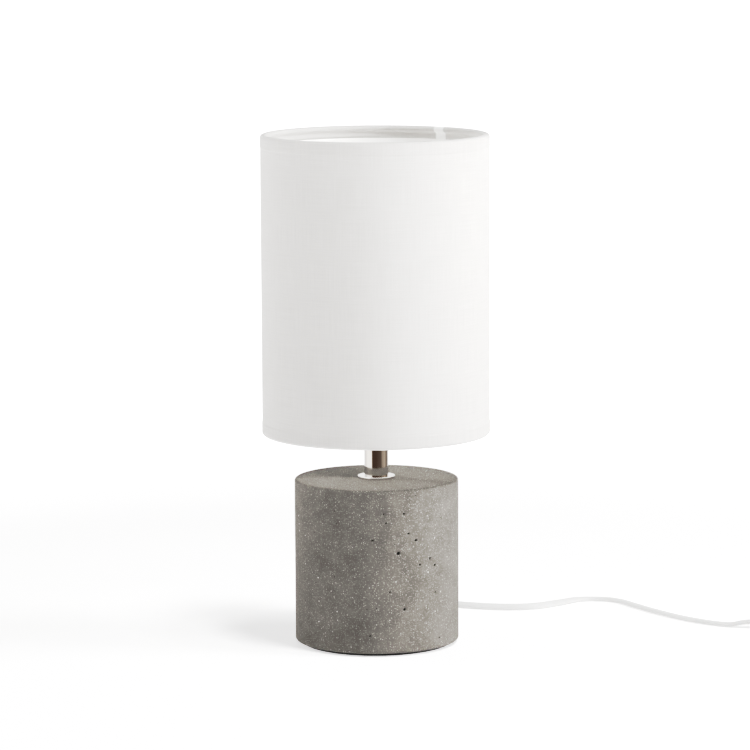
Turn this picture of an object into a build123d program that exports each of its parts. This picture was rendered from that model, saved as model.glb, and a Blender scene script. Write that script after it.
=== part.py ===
"""Table lamp: a cast concrete base, a short chromed stem and a drum shade, with its cord.

Millimetres. +Z is up and +X is to the right, seen from the front, which faces -Y.
The origin is the centre of the base's underside, on the table.
"""
from build123d import *
import os
from math import pi, radians, tan

# ---------------------------------------------------------------- driving dimensions

# base, from the table up
PAD_THICK = 2.0
PAD_RADIUS = 50.0
BASE_RADIUS = 54.0
BASE_TOP = 109.5
BASE_EDGE = 1.5
RECESS_RADIUS = 35.0
RECESS_CEILING = 28.0
ROD_HOLE_RADIUS = 5.5
GLAND_HEIGHT = 10.0
GLAND_HOLE_RADIUS = 4.6

# stem
ROD_RADIUS = 5.0
ROD_BORE_RADIUS = 4.0
ROD_BOTTOM = 16.0
FLANGE_RADIUS = 12.3
FLANGE_THICK = 1.8
TUBE_RADIUS = 8.0
TUBE_WALL = 1.0

# lampholder (E14), from its underside up
HOLDER_BOTTOM = 147.0
HOLDER_RADIUS = 13.9
HOLDER_CAP_TOP = 163.0
HOLDER_TOP = 201.0
SHOULDER_TOP = 168.0
SHOULDER_RADIUS = 17.0
CORE_TOP = 195.0
CORE_FLOOR = 170.0

# shade
SHADE_RADIUS = 75.0
SHADE_BOTTOM = 139.2
SHADE_TOP = 336.5
FABRIC_THICK = 0.7
LINER_THICK = 0.55
HEM_FLAP = 8.5
HEM_INNER_RADIUS = 70.6
WIRE_RADIUS = 1.2
ARM_RADIUS = 1.4
ARM_AZIMUTHS = (90, 210, 330)

# bulb (E14, 45 mm globe)
BULB_TIP = 173.6
BULB_TOP = 252.0
GLOBE_RADIUS = 22.5
GLOBE_CUT = 217.0
BULB_CAP_RADIUS = 6.95

# cord: a flat two-core cable, its solids round and as thick as it is wide
CORD_WIDTH = 5.0
CORD_RADIUS = CORD_WIDTH / 2
GLAND_REACH = 22.0

# inline switch, its length along X
SWITCH_LENGTH = 62.0
SWITCH_WIDTH = 24.0
SWITCH_SPLIT = 8.0
SWITCH_TOP = 16.0
SWITCH_WALL = 1.6
SWITCH_START = (264.0, 34.0)
SWITCH_ENTRY = 4.6
ROCKER_RADIUS = 8.0
ROCKER_WIDTH = 10.0
ROCKER_PIVOT = 12.5
ROCKER_TILT = 10.0

# coil of the put-away length: two layers of turns, each layer four turns wide
COIL_CENTRE = (325.0, 84.0)
COIL_TURN_RADII = (17.5, 22.5, 27.5, 32.5)
COIL_LAYERS = 2
COIL_HEIGHT = COIL_LAYERS * CORD_WIDTH

# plug (two 4 mm pins), lying flat, its pins along +Y
PLUG_START = (355.0, 126.0)
PLUG_BOOT = 16.0
PLUG_BODY = 30.0
PLUG_THICK = 13.4
PLUG_WIDTH = 35.0
PIN_RADIUS = 2.0
PIN_LENGTH = 19.0
PIN_SLEEVE = 10.0
PIN_CORE_RADIUS = 1.4
PIN_SLEEVE_RADIUS = 1.75
PIN_ROUND = 1.2
PIN_SPACING = 18.6

# cord routes, on the table at CORD_RADIUS, up to the switch and plug at their entry heights
ROUTE_TO_SWITCH = [
    (0, BASE_RADIUS + GLAND_REACH, GLAND_HEIGHT),
    (0, 88, GLAND_HEIGHT),
    (2.5, 101, 7.6),
    (11, 112.5, 3.6),
    (25, 118, CORD_RADIUS),
    (42, 116, CORD_RADIUS),
    (60, 106, CORD_RADIUS),
    (83, 98.5, CORD_RADIUS),
    (106, 98.5, CORD_RADIUS),
    (125, 111.5, CORD_RADIUS),
    (140, 127.5, CORD_RADIUS),
    (155, 130, CORD_RADIUS),
    (168.5, 122.5, CORD_RADIUS),
    (179, 103, CORD_RADIUS),
    (191.5, 83, CORD_RADIUS),
    (206.5, 62, CORD_RADIUS),
    (223, 46, CORD_RADIUS),
    (238, 37, CORD_RADIUS),
    (251.5, SWITCH_START[1], SWITCH_ENTRY),
    (SWITCH_START[0], SWITCH_START[1], SWITCH_ENTRY),
]
ROUTE_TO_COIL = [
    (SWITCH_START[0] + SWITCH_LENGTH, SWITCH_START[1], SWITCH_ENTRY),
    (338, SWITCH_START[1], SWITCH_ENTRY),
    (350.5, 37.5, 3.2),
    (359.5, 46.5, CORD_RADIUS),
    (363, 59, CORD_RADIUS),
    (361, 72, CORD_RADIUS),
    (357.4, 83, CORD_RADIUS),
]
ROUTE_TO_PLUG = [
    (356.8, 94, 7.5),
    (355.8, 105, 7.4),
    (PLUG_START[0], 115.5, PLUG_THICK / 2),
    (PLUG_START[0], PLUG_START[1], PLUG_THICK / 2),
]

# ---------------------------------------------------------------- helpers

UP = (Align.CENTER, Align.CENTER, Align.MIN)


def disc(radius, low, high, x=0, y=0):
    """A solid cylinder along Z between two heights."""
    return Pos(x, y, low) * Cylinder(radius, high - low, align=UP)


def sleeve(outer, inner, low, high):
    """A hollow cylinder about the lamp's axis."""
    return disc(outer, low, high) - disc(inner, low - 1, high + 1)


def lathe(points):
    """A closed outline of (radius, height) points, turned about the lamp's axis."""
    outline = make_face(Polyline([(r, 0, z) for r, z in points], close=True))
    return revolve(outline, Axis.Z)


def corner_radii(points):
    """The largest arc each corner's two runs leave room for."""
    radii = []
    for before, here, after in zip(points, points[1:], points[2:]):
        run_in = Vector(*here) - Vector(*before)
        run_out = Vector(*after) - Vector(*here)
        half_turn = radians(run_in.get_angle(run_out)) / 2
        radii.append(0.45 * min(run_in.length, run_out.length) / tan(half_turn))
    return radii


def wire(points, radius, corners=None):
    """A round wire or cable: straight runs joined by tangent arcs."""
    path = FilletPolyline(*points, radius=corners or corner_radii(points))
    section = Plane(origin=path @ 0, z_dir=path % 0) * Circle(radius)
    return sweep(section, path=path), path.length


def cord(name, points):
    """A free stretch of the cord, with its radii and its volume printed."""
    tube, length = wire(points, CORD_RADIUS)
    radii = corner_radii(points)
    print(name, "length", round(length, 1), "radii", [round(r, 1) for r in radii])
    print("  volume over section x length:", round(tube.volume / (pi * CORD_RADIUS**2 * length), 4))
    return tube, length


def save(name, shape):
    """Write one sub-part."""
    export_step(shape, "parts/" + name + ".step")


# ---------------------------------------------------------------- base


def concrete_base():
    """The cast block: rod hole, recess for the nut underneath, cable hole at the rear."""
    block = disc(BASE_RADIUS, PAD_THICK, BASE_TOP)
    rims = block.edges().filter_by(GeomType.CIRCLE)
    block = fillet(rims, BASE_EDGE)
    block -= disc(RECESS_RADIUS, PAD_THICK - 1, RECESS_CEILING)
    block -= disc(ROD_HOLE_RADIUS, RECESS_CEILING - 1, BASE_TOP + 1)
    rear_hole = Cylinder(GLAND_HOLE_RADIUS, BASE_RADIUS, align=UP)
    block -= Pos(0, RECESS_RADIUS - 5, GLAND_HEIGHT) * Rot(-90, 0, 0) * rear_hole
    return block


def felt_pad():
    """The pad that closes the recess."""
    return disc(PAD_RADIUS, 0, PAD_THICK)


def cord_gland():
    """The moulded bush in the rear hole, with a flange and a tapered, grooved tail."""
    inner, flange = RECESS_RADIUS - 2, BASE_RADIUS + 2
    tip = BASE_RADIUS + GLAND_REACH
    outline = [(0, inner), (4.5, inner), (4.5, BASE_RADIUS), (6.5, BASE_RADIUS), (6.5, flange - 0.5)]
    outline += [(6.0, flange), (4.7, flange)]
    grooves = 4
    pitch = (tip - flange - 4) / grooves
    for i in range(grooves):
        start = flange + 2 + i * pitch
        radius = 4.7 - 0.3 * (i + 0.5)
        outline += [(radius, start), (radius - 0.6, start + 0.6), (radius - 0.6, start + 1.6), (radius - 0.1, start + 2.2)]
    outline += [(3.4, tip - 0.6), (3.1, tip), (0, tip)]
    return Pos(0, 0, GLAND_HEIGHT) * Rot(-90, 0, 0) * lathe(outline)


# ---------------------------------------------------------------- stem


WASHER_THICK = 2.0
LOCK_THICK = 1.5
NUT_HEIGHT = 6.0
NUT_BOTTOM = RECESS_CEILING - WASHER_THICK - LOCK_THICK - NUT_HEIGHT
FLANGE_TOP = BASE_TOP + FLANGE_THICK


def threaded_rod():
    """The hollow rod that holds base, stem and lampholder together."""
    rod = sleeve(ROD_RADIUS, ROD_BORE_RADIUS, ROD_BOTTOM, HOLDER_BOTTOM + 6)
    return chamfer(rod.edges().filter_by(GeomType.CIRCLE).sort_by(SortBy.RADIUS)[-2:], 0.4)


def bottom_nut():
    """A hexagon nut, 17 mm across its flats."""
    hexagon = extrude(RegularPolygon(8.5, 6, major_radius=False), NUT_HEIGHT)
    return Pos(0, 0, NUT_BOTTOM) * hexagon - disc(ROD_RADIUS + 0.02, 0, RECESS_CEILING)


def bottom_washer():
    """The wide washer that spreads the nut's load over the concrete."""
    return sleeve(22, ROD_HOLE_RADIUS, RECESS_CEILING - WASHER_THICK, RECESS_CEILING)


def lock_washer():
    """A split spring washer."""
    low = RECESS_CEILING - WASHER_THICK - LOCK_THICK
    ring = sleeve(9, ROD_RADIUS + 0.2, low, low + LOCK_THICK)
    return ring - Pos(7, 0, low) * Rot(0, 0, 20) * Box(6, 1.2, 4)


def stem_flange():
    """The polished disc between the stem and the concrete."""
    plate = disc(FLANGE_RADIUS, BASE_TOP, FLANGE_TOP)
    plate = fillet(plate.edges().group_by(Axis.Z)[-1], 0.6)
    return plate - disc(ROD_RADIUS + 0.2, BASE_TOP - 1, FLANGE_TOP + 1)


def stem_tube():
    """The tube that hides the rod."""
    return sleeve(TUBE_RADIUS, TUBE_RADIUS - TUBE_WALL, FLANGE_TOP, HOLDER_BOTTOM)


def inner_cord():
    """The cable from the gland through the recess and the rod into the lampholder."""
    start = (0, RECESS_RADIUS - 2, GLAND_HEIGHT)
    bend = (0, 0, GLAND_HEIGHT)
    return wire([start, bend, (0, 0, HOLDER_BOTTOM + 8)], CORD_RADIUS, corners=[8.0])[0]


def core_wire(side):
    """One insulated core, from the cable's end up into the lampholder's core."""
    low = HOLDER_BOTTOM + 8
    points = [(side * 1.2, 0, low), (side * 1.2, 0, low + 2), (side * 6.0, 0, low + 5.5), (side * 6.0, 0, low + 10.5)]
    return wire(points, 0.95)[0]


# ---------------------------------------------------------------- lampholder


def holder_cap():
    """The lower cover, a cup with a hole for the rod."""
    cup = disc(HOLDER_RADIUS, HOLDER_BOTTOM, HOLDER_CAP_TOP)
    cup = fillet(cup.edges().group_by(Axis.Z)[0], 2.5)
    cup -= disc(11.9, HOLDER_BOTTOM + 4, HOLDER_CAP_TOP + 1)
    return cup - disc(ROD_RADIUS + 0.02, HOLDER_BOTTOM - 1, HOLDER_BOTTOM + 5)


def holder_core():
    """The insulating core: a flange held between cap and skirt, and the socket's well."""
    flange_top = HOLDER_CAP_TOP + 1.5
    body = disc(11.7, HOLDER_CAP_TOP, CORE_TOP) + disc(HOLDER_RADIUS, HOLDER_CAP_TOP, flange_top)
    body -= disc(8.3, CORE_FLOOR, CORE_TOP + 1)
    for side in (-1, 1):
        body -= disc(1.05, HOLDER_CAP_TOP - 1, HOLDER_BOTTOM + 18.5, side * 6.0)
        slot = Pos(side * 10.6, 0, HOLDER_BOTTOM + 20) * Rot(0, 90, 0) * Cylinder(1.9, 4)
        body -= slot
    return body


def terminal_screws():
    """Two brass terminal screws in the sides of the core."""
    screws = []
    for side in (-1, 1):
        screw = Pos(side * 10.3, 0, HOLDER_BOTTOM + 20) * Rot(0, 90, 0) * Cylinder(1.8, 2.2)
        screw -= Pos(side * 11.3, 0, HOLDER_BOTTOM + 20) * Box(0.8, 0.6, 5)
        screws.append(screw)
    return Compound(children=screws)


def holder_skirt():
    """The outer sleeve: grooved for the shade ring, with the shoulder that the shade rests on."""
    bottom = HOLDER_CAP_TOP + 1.5
    outline = [(12.1, bottom), (HOLDER_RADIUS, bottom), (HOLDER_RADIUS, SHOULDER_TOP - 3)]
    outline += [(SHOULDER_RADIUS, SHOULDER_TOP - 1.8), (SHOULDER_RADIUS, SHOULDER_TOP)]
    outline += [(HOLDER_RADIUS, SHOULDER_TOP)]
    pitch = 2.5
    for i in range(11):
        start = SHOULDER_TOP + 1.5 + i * pitch
        outline += [(HOLDER_RADIUS, start), (HOLDER_RADIUS - 0.7, start + 0.6)]
        outline += [(HOLDER_RADIUS - 0.7, start + 1.0), (HOLDER_RADIUS, start + 1.6)]
    outline += [(HOLDER_RADIUS, HOLDER_TOP - 0.6), (HOLDER_RADIUS - 0.6, HOLDER_TOP), (12.1, HOLDER_TOP)]
    return lathe(outline)


def holder_screw_shell():
    """The socket's threaded contact."""
    return sleeve(8.2, 7.25, CORE_FLOOR + 5.5, CORE_TOP - 1)


def holder_centre_contact():
    """The domed contact at the bottom of the well."""
    button = disc(2.6, CORE_FLOOR, BULB_TIP)
    return fillet(button.edges().group_by(Axis.Z)[-1], 0.8)


# ---------------------------------------------------------------- shade and its ring


FITTER_BOTTOM = SHOULDER_TOP + 0.05
FITTER_TOP = FITTER_BOTTOM + 1.5
FITTER_RADIUS = 20.0
RING_WIRE_RADIUS = HEM_INNER_RADIUS + 0.55 + WIRE_RADIUS
RING_WIRE_INSET = 1.9
NUT_RIBS = 18


def fitter_ring():
    """The flat ring that sits on the lampholder's shoulder."""
    return sleeve(FITTER_RADIUS, HOLDER_RADIUS + 0.3, FITTER_BOTTOM, FITTER_TOP)


def spider_arm(azimuth):
    """One wire arm, from the fitter ring out and down to the bottom ring."""
    level = (FITTER_BOTTOM + FITTER_TOP) / 2
    points = [(FITTER_RADIUS - 0.3, 0, level), (31, 0, level), (RING_WIRE_RADIUS, 0, SHADE_BOTTOM + RING_WIRE_INSET)]
    arm = wire(points, ARM_RADIUS, corners=[12.0])[0]
    return Rot(0, 0, azimuth) * arm


def rim_ring(height):
    """A wire ring that keeps one edge of the drum round."""
    return Pos(0, 0, height) * Torus(RING_WIRE_RADIUS, WIRE_RADIUS)


def shade_liner():
    """The stiff sheet that the fabric is bonded to."""
    outer = SHADE_RADIUS - FABRIC_THICK - 0.05
    return sleeve(outer, outer - LINER_THICK, SHADE_BOTTOM + 0.8, SHADE_TOP - 0.8)


def shade_fabric():
    """The cover, folded over both rims and down inside them, notched for the arms."""
    outer, inner = SHADE_RADIUS, SHADE_RADIUS - FABRIC_THICK
    flap, back = HEM_INNER_RADIUS, HEM_INNER_RADIUS + 0.5
    low, high = SHADE_BOTTOM, SHADE_TOP
    outline = [(outer, low), (outer, high), (flap, high), (flap, high - HEM_FLAP), (back, high - HEM_FLAP)]
    outline += [(back, high - 0.6), (inner, high - 0.6), (inner, low + 0.6), (back, low + 0.6)]
    outline += [(back, low + HEM_FLAP), (flap, low + HEM_FLAP), (flap, low)]
    cover = lathe(outline)
    for azimuth in ARM_AZIMUTHS:
        notch = Pos(HEM_INNER_RADIUS - 1, 0, low + 0.6 + HEM_FLAP / 2) * Box(4.4, 5, HEM_FLAP)
        cover -= Rot(0, 0, azimuth) * notch
    return cover


def shade_ring():
    """The ribbed nut that clamps the fitter ring to the shoulder."""
    low, high = FITTER_TOP + 0.05, FITTER_TOP + 8.05
    ring = disc(18.2, low, high)
    for i in range(NUT_RIBS):
        rib = Pos(18.2, 0, low) * Cylinder(0.6, high - low - 1.2, align=UP)
        ring += Rot(0, 0, i * 360 / NUT_RIBS) * rib
    return ring - disc(HOLDER_RADIUS + 0.08, low - 1, high + 1)


# ---------------------------------------------------------------- bulb


GLOBE_CENTRE = BULB_TOP - GLOBE_RADIUS
GLOBE_CUT_RADIUS = (GLOBE_RADIUS**2 - (GLOBE_CENTRE - GLOBE_CUT) ** 2) ** 0.5


def bulb_globe():
    """The frosted globe, a hollow ball cut off at the collar."""
    shell = Sphere(GLOBE_RADIUS) - Sphere(GLOBE_RADIUS - 1.2)
    keep = Pos(0, 0, GLOBE_CUT) * Cylinder(40, 60, align=UP)
    return (Pos(0, 0, GLOBE_CENTRE) * shell) & keep


def bulb_collar():
    """The heat-spreading collar, flaring from the screw cap to the globe."""
    top = GLOBE_CUT_RADIUS
    outline = [(0, 200), (8.4, 200), (8.9, 203), (10.4, 207), (13.2, 211), (16.4, 214.4), (top, 216.4)]
    outline += [(top, GLOBE_CUT), (0, GLOBE_CUT)]
    return lathe(outline)


def led_board():
    """The light source, a small disc on a post inside the globe."""
    return disc(5, GLOBE_CUT, GLOBE_CUT + 5) + disc(12, GLOBE_CUT + 5, GLOBE_CUT + 6.6)


def bulb_screw_cap():
    """The metal screw cap, a plain shell over the collar's neck."""
    return disc(BULB_CAP_RADIUS, 178, 200)


def bulb_insulator():
    """The glass insulator between screw cap and tip."""
    return lathe([(0, 175), (2.9, 175), (6.2, 178), (0, 178)])


def bulb_contact():
    """The solder tip."""
    tip = disc(2.4, BULB_TIP, 175)
    return fillet(tip.edges().group_by(Axis.Z)[0], 0.6)


# ---------------------------------------------------------------- inline switch


SWITCH_X = SWITCH_START[0] + SWITCH_LENGTH / 2
SWITCH_Y = SWITCH_START[1]


def switch_outline(inset):
    """The case's outline: straight ends, swelling to full width in the middle."""
    half, end = SWITCH_LENGTH / 2 - inset, 6.0 - inset
    wide = SWITCH_WIDTH / 2 - inset
    right = [(half, end), (half - 3, end + 2.2), (half - 9, wide - 1.2), (half - 14, wide)]
    left = [(-x, y) for x, y in reversed(right)]
    upper = right + left
    lower = [(x, -y) for x, y in reversed(upper)]
    return make_face(Polyline([(x, y) for x, y in upper + lower], close=True))


def switch_block(inset, low, high):
    """The outline raised between two heights, in the lamp's frame."""
    return Pos(SWITCH_X, SWITCH_Y, low) * extrude(switch_outline(inset), high - low)


def switch_lower_case():
    """The lower half shell, with the screws' wells."""
    shell = switch_block(0, 0, SWITCH_SPLIT)
    shell = fillet(shell.edges().group_by(Axis.Z)[0], 1.2)
    shell -= switch_block(SWITCH_WALL, SWITCH_WALL, SWITCH_SPLIT + 1)
    for side in (-1, 1):
        x = SWITCH_X + side * 21
        shell += disc(3.4, 0.4, SWITCH_SPLIT, x, SWITCH_Y + side * 5.5)
        shell -= disc(2.7, -1, 3.0, x, SWITCH_Y + side * 5.5)
        shell -= disc(1.6, 2, SWITCH_SPLIT + 1, x, SWITCH_Y + side * 5.5)
    return shell


def switch_upper_case():
    """The upper half shell, with the rocker's window and the two lugs that hold its pin."""
    shell = switch_block(0, SWITCH_SPLIT, SWITCH_TOP)
    shell = fillet(shell.edges().group_by(Axis.Z)[-1], 2.0)
    shell -= switch_block(SWITCH_WALL, SWITCH_SPLIT - 1, SWITCH_TOP - SWITCH_WALL)
    for side in (-1, 1):
        shell += Pos(SWITCH_X, SWITCH_Y + side * 6.6, SWITCH_SPLIT + 4) * Box(6, 1.8, 7.9)
        post = disc(2.6, SWITCH_SPLIT, SWITCH_TOP - 1, SWITCH_X + side * 21, SWITCH_Y + side * 5.5)
        shell += post
        shell -= disc(1.2, SWITCH_SPLIT - 1, SWITCH_TOP - 3, SWITCH_X + side * 21, SWITCH_Y + side * 5.5)
    shell -= Pos(SWITCH_X, SWITCH_Y, SWITCH_TOP) * Box(16.6, ROCKER_WIDTH + 1.0, 6)
    pin_hole = Pos(SWITCH_X, SWITCH_Y, ROCKER_PIVOT) * Rot(90, 0, 0) * Cylinder(1.0, 30)
    lug_zone = Pos(SWITCH_X, SWITCH_Y, SWITCH_SPLIT + 4) * Box(6, 15, 7.8)
    return shell - (pin_hole & lug_zone)


def rocker_pin():
    """The steel pin that the rocker tips on."""
    return Pos(SWITCH_X, SWITCH_Y, ROCKER_PIVOT) * Rot(90, 0, 0) * Cylinder(1.0, 15.0)


def switch_rocker():
    """The rocker: round ends about the pin, a shallow V on top, at rest tipped to one side."""
    rise = tan(radians(ROCKER_TILT))
    reach = ROCKER_RADIUS + 2
    outline = [(-reach, -3), (reach, -3), (reach, 3.6 + reach * rise), (0, 3.6), (-reach, 3.6 + reach * rise)]
    profile = make_face(Polyline([(x, 0, z) for x, z in outline], close=True))
    body = extrude(profile, ROCKER_WIDTH / 2, dir=(0, 1, 0), both=True)
    body &= Rot(90, 0, 0) * Cylinder(ROCKER_RADIUS, ROCKER_WIDTH)
    body -= Rot(90, 0, 0) * Cylinder(1.05, ROCKER_WIDTH + 2)
    return Pos(SWITCH_X, SWITCH_Y, ROCKER_PIVOT) * Rot(0, -ROCKER_TILT, 0) * body


def switch_screws():
    """The two screws that hold the case's halves together."""
    screws = []
    for side in (-1, 1):
        x, y = SWITCH_X + side * 21, SWITCH_Y + side * 5.5
        screw = disc(2.5, 1.4, 3.0, x, y) + disc(1.15, 3.0, SWITCH_TOP - 5, x, y)
        screws.append(screw - Pos(x, y, 1.4) * Box(3.4, 0.7, 1.4))
    return Compound(children=screws)


def switch_terminals():
    """Two brass terminal blocks with their clamp screws, standing on the case's floor."""
    blocks = []
    for side in (-1, 1):
        block = Pos(SWITCH_X + side * 12, SWITCH_Y - side * 4.2, SWITCH_WALL + 2.6) * Box(5, 5, 5.2)
        block += disc(1.5, SWITCH_WALL + 5.2, SWITCH_WALL + 6.4, SWITCH_X + side * 12, SWITCH_Y - side * 4.2)
        blocks.append(block)
    return Compound(children=blocks)


# ---------------------------------------------------------------- coil, tie and plug


COIL_OUTER = COIL_TURN_RADII[-1] + CORD_RADIUS
COIL_INNER = COIL_TURN_RADII[0] - CORD_RADIUS
TIE_FLOOR = 0.8
TIE_WIDTH = 6.0


def cord_coil():
    """The coil's outer shape: a ring with rounded edges."""
    ring = disc(COIL_OUTER, 0, COIL_HEIGHT) - disc(COIL_INNER, -1, COIL_HEIGHT + 1)
    ring = fillet(ring.edges().filter_by(GeomType.CIRCLE), CORD_RADIUS - 0.1)
    return Pos(*COIL_CENTRE, 0) * ring


def coil_tie():
    """The band round the coil's turns, at its left side."""
    middle = COIL_CENTRE[0] - (COIL_OUTER + COIL_INNER) / 2
    across = COIL_OUTER - COIL_INNER + 0.4
    outer = Box(across + 1.6, TIE_WIDTH, COIL_HEIGHT + 1.0, align=UP)
    inner = Pos(0, 0, TIE_FLOOR) * Box(across, TIE_WIDTH + 2, COIL_HEIGHT + 0.2 - TIE_FLOOR, align=UP)
    return Pos(middle, COIL_CENTRE[1], 0) * (outer - inner)


PLUG_X, PLUG_Y = PLUG_START
PLUG_Z = PLUG_THICK / 2


def plug_section(distance, width, thick, corner):
    """A rounded section across the plug, at a distance from the start of its boot."""
    place = Plane(origin=(PLUG_X, PLUG_Y + distance, PLUG_Z), x_dir=(1, 0, 0), z_dir=(0, 1, 0))
    return place * RectangleRounded(width, thick, corner)


def plug_body():
    """The moulded body: a narrow grip that widens to the face with the pins."""
    grip = plug_section(PLUG_BOOT, 15, 10.4, 4)
    waist = plug_section(PLUG_BOOT + 12, 23, 11.4, 4)
    shoulder = plug_section(PLUG_BOOT + 22, PLUG_WIDTH, PLUG_THICK, 5)
    face = plug_section(PLUG_BOOT + PLUG_BODY, PLUG_WIDTH, PLUG_THICK, 5)
    return loft([grip, waist, shoulder, face], ruled=True)


def plug_boot():
    """The tapered strain relief, ringed with grooves."""
    outline = [(0, 0), (3.1, 0), (3.3, 0.6)]
    for i in range(3):
        start = 3.0 + i * 3.6
        radius = 3.4 + 0.35 * i
        outline += [(radius, start), (radius - 0.6, start + 0.6), (radius - 0.6, start + 1.6), (radius + 0.2, start + 2.2)]
    outline += [(5.0, PLUG_BOOT - 0.6), (5.0, PLUG_BOOT), (0, PLUG_BOOT)]
    return Pos(PLUG_X, PLUG_Y, PLUG_Z) * Rot(-90, 0, 0) * lathe(outline)


def pin_places():
    """The centres of the pins' roots on the plug's face."""
    face = PLUG_Y + PLUG_BOOT + PLUG_BODY
    return [(PLUG_X + side * PIN_SPACING / 2, face, PLUG_Z) for side in (-1, 1)]


def plug_pins():
    """The two brass pins: full width at the tip, thinner inside their sleeves."""
    pins = []
    for place in pin_places():
        root = Cylinder(PIN_CORE_RADIUS, PIN_SLEEVE, align=UP)
        tip = Pos(0, 0, PIN_SLEEVE) * Cylinder(PIN_RADIUS, PIN_LENGTH - PIN_SLEEVE, align=UP)
        tip = fillet(tip.edges().group_by(Axis.Z)[-1], PIN_ROUND)
        pins.append(Pos(*place) * Rot(-90, 0, 0) * (root + tip))
    return Compound(children=pins)


def pin_sleeves():
    """The insulating sleeves on the pins' roots."""
    sleeves = []
    for place in pin_places():
        outer = Cylinder(PIN_SLEEVE_RADIUS, PIN_SLEEVE, align=UP)
        tube = outer - Cylinder(PIN_CORE_RADIUS, PIN_SLEEVE, align=UP)
        sleeves.append(Pos(*place) * Rot(-90, 0, 0) * tube)
    return Compound(children=sleeves)


# ---------------------------------------------------------------- write everything


def main():
    os.makedirs("parts", exist_ok=True)
    for build in (concrete_base, felt_pad, cord_gland, threaded_rod, bottom_nut, bottom_washer, lock_washer,
                  stem_flange, stem_tube, inner_cord, holder_cap, holder_core, terminal_screws, holder_skirt,
                  holder_screw_shell, holder_centre_contact, fitter_ring, shade_liner, shade_fabric, shade_ring,
                  bulb_globe, bulb_collar, led_board, bulb_screw_cap, bulb_insulator, bulb_contact,
                  switch_lower_case, switch_upper_case, rocker_pin, switch_rocker, switch_screws,
                  switch_terminals, cord_coil, coil_tie, plug_body, plug_boot, plug_pins, pin_sleeves):
        save(build.__name__, build())
    save("core_wire_brown", core_wire(-1))
    save("core_wire_blue", core_wire(1))
    for number, azimuth in enumerate(ARM_AZIMUTHS, 1):
        save("spider_arm_" + str(number), spider_arm(azimuth))
    save("bottom_ring", rim_ring(SHADE_BOTTOM + RING_WIRE_INSET))
    save("top_ring", rim_ring(SHADE_TOP - RING_WIRE_INSET))

    total = COIL_LAYERS * 2 * pi * sum(COIL_TURN_RADII) + SWITCH_LENGTH
    for name, route in (("cord_to_switch", ROUTE_TO_SWITCH), ("cord_to_coil", ROUTE_TO_COIL),
                        ("cord_to_plug", ROUTE_TO_PLUG)):
        tube, length = cord(name, route)
        save(name, tube)
        total += length
    print("whole cord, switch and coil with it:", round(total))


main()
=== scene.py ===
# %% [markdown]
# # A table lamp: concrete base, chromed stem, drum shade
# The lamp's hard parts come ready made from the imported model, in metres, at their places.
# This lesson gives each part its finish, and makes the soft and cast pieces anew:
# the cloth of the shade, the block of concrete, the felt under it and the flat cord.

# %% Load the frame
import math

import bpy
import numpy as np
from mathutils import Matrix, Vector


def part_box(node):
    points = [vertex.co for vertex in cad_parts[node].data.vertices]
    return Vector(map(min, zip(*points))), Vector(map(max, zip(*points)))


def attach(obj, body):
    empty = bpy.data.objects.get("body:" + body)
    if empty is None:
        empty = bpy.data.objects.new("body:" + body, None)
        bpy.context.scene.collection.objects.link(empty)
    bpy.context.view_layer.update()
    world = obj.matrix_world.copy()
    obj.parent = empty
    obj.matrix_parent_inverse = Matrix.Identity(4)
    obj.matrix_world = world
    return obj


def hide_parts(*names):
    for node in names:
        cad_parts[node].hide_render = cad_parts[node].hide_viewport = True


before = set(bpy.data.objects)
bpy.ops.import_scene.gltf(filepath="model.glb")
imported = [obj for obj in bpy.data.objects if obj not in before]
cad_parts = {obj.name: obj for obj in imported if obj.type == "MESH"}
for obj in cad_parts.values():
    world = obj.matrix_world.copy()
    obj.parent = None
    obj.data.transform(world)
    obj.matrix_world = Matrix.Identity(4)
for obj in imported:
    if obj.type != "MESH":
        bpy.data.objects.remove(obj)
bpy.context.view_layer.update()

MM = 0.001

# %% [markdown]
# ## The camera
# A long lens far away keeps the drum's sides nearly parallel. It stands in front of the lamp
# (the front faces -Y) and looks down by a few degrees, so that the rims show as thin ellipses.

# %% Camera
CAMERA_DISTANCE = 2.517
CAMERA_HEIGHT = 0.531
CAMERA_PITCH = math.radians(7.99)
CAMERA_ROLL = math.radians(0.275)
CAMERA_ASIDE = 0.0011
LENS_MM = 185.7
SENSOR_MM = 36.0

camera = bpy.data.objects.new("view", bpy.data.cameras.new("view"))
camera.data.lens = LENS_MM
camera.data.sensor_width = SENSOR_MM
camera.data.clip_end = 50
camera.location = (CAMERA_ASIDE, -CAMERA_DISTANCE, CAMERA_HEIGHT)
camera.rotation_euler = (math.radians(90) - CAMERA_PITCH, CAMERA_ROLL, 0)
bpy.context.collection.objects.link(camera)
bpy.context.scene.camera = camera
print("camera stands", CAMERA_DISTANCE, "m in front of the stem")


# %% [markdown]
# ## Surfaces from arrays
# Every new piece is a grid of points: rows run along the piece, columns run around it.
# The grid is worked out with numpy as one array and handed to the mesh in one go.
# A grid can close on itself in either direction, and an open end can be closed with a fan
# that meets at the middle of its rim.

# %% Grid to mesh
def quads(rows, columns, wrap_rows, wrap_columns):
    """Corner numbers of a grid's squares: row i, column j is point i * columns + j."""
    i = np.arange(rows if wrap_rows else rows - 1)[:, None]
    j = np.arange(columns if wrap_columns else columns - 1)[None, :]
    after_i, after_j = (i + 1) % rows, (j + 1) % columns
    corners = (i * columns + j, i * columns + after_j, after_i * columns + after_j, after_i * columns + j)
    return np.stack(np.broadcast_arrays(*corners), axis=-1).reshape(-1, 4)


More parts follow.
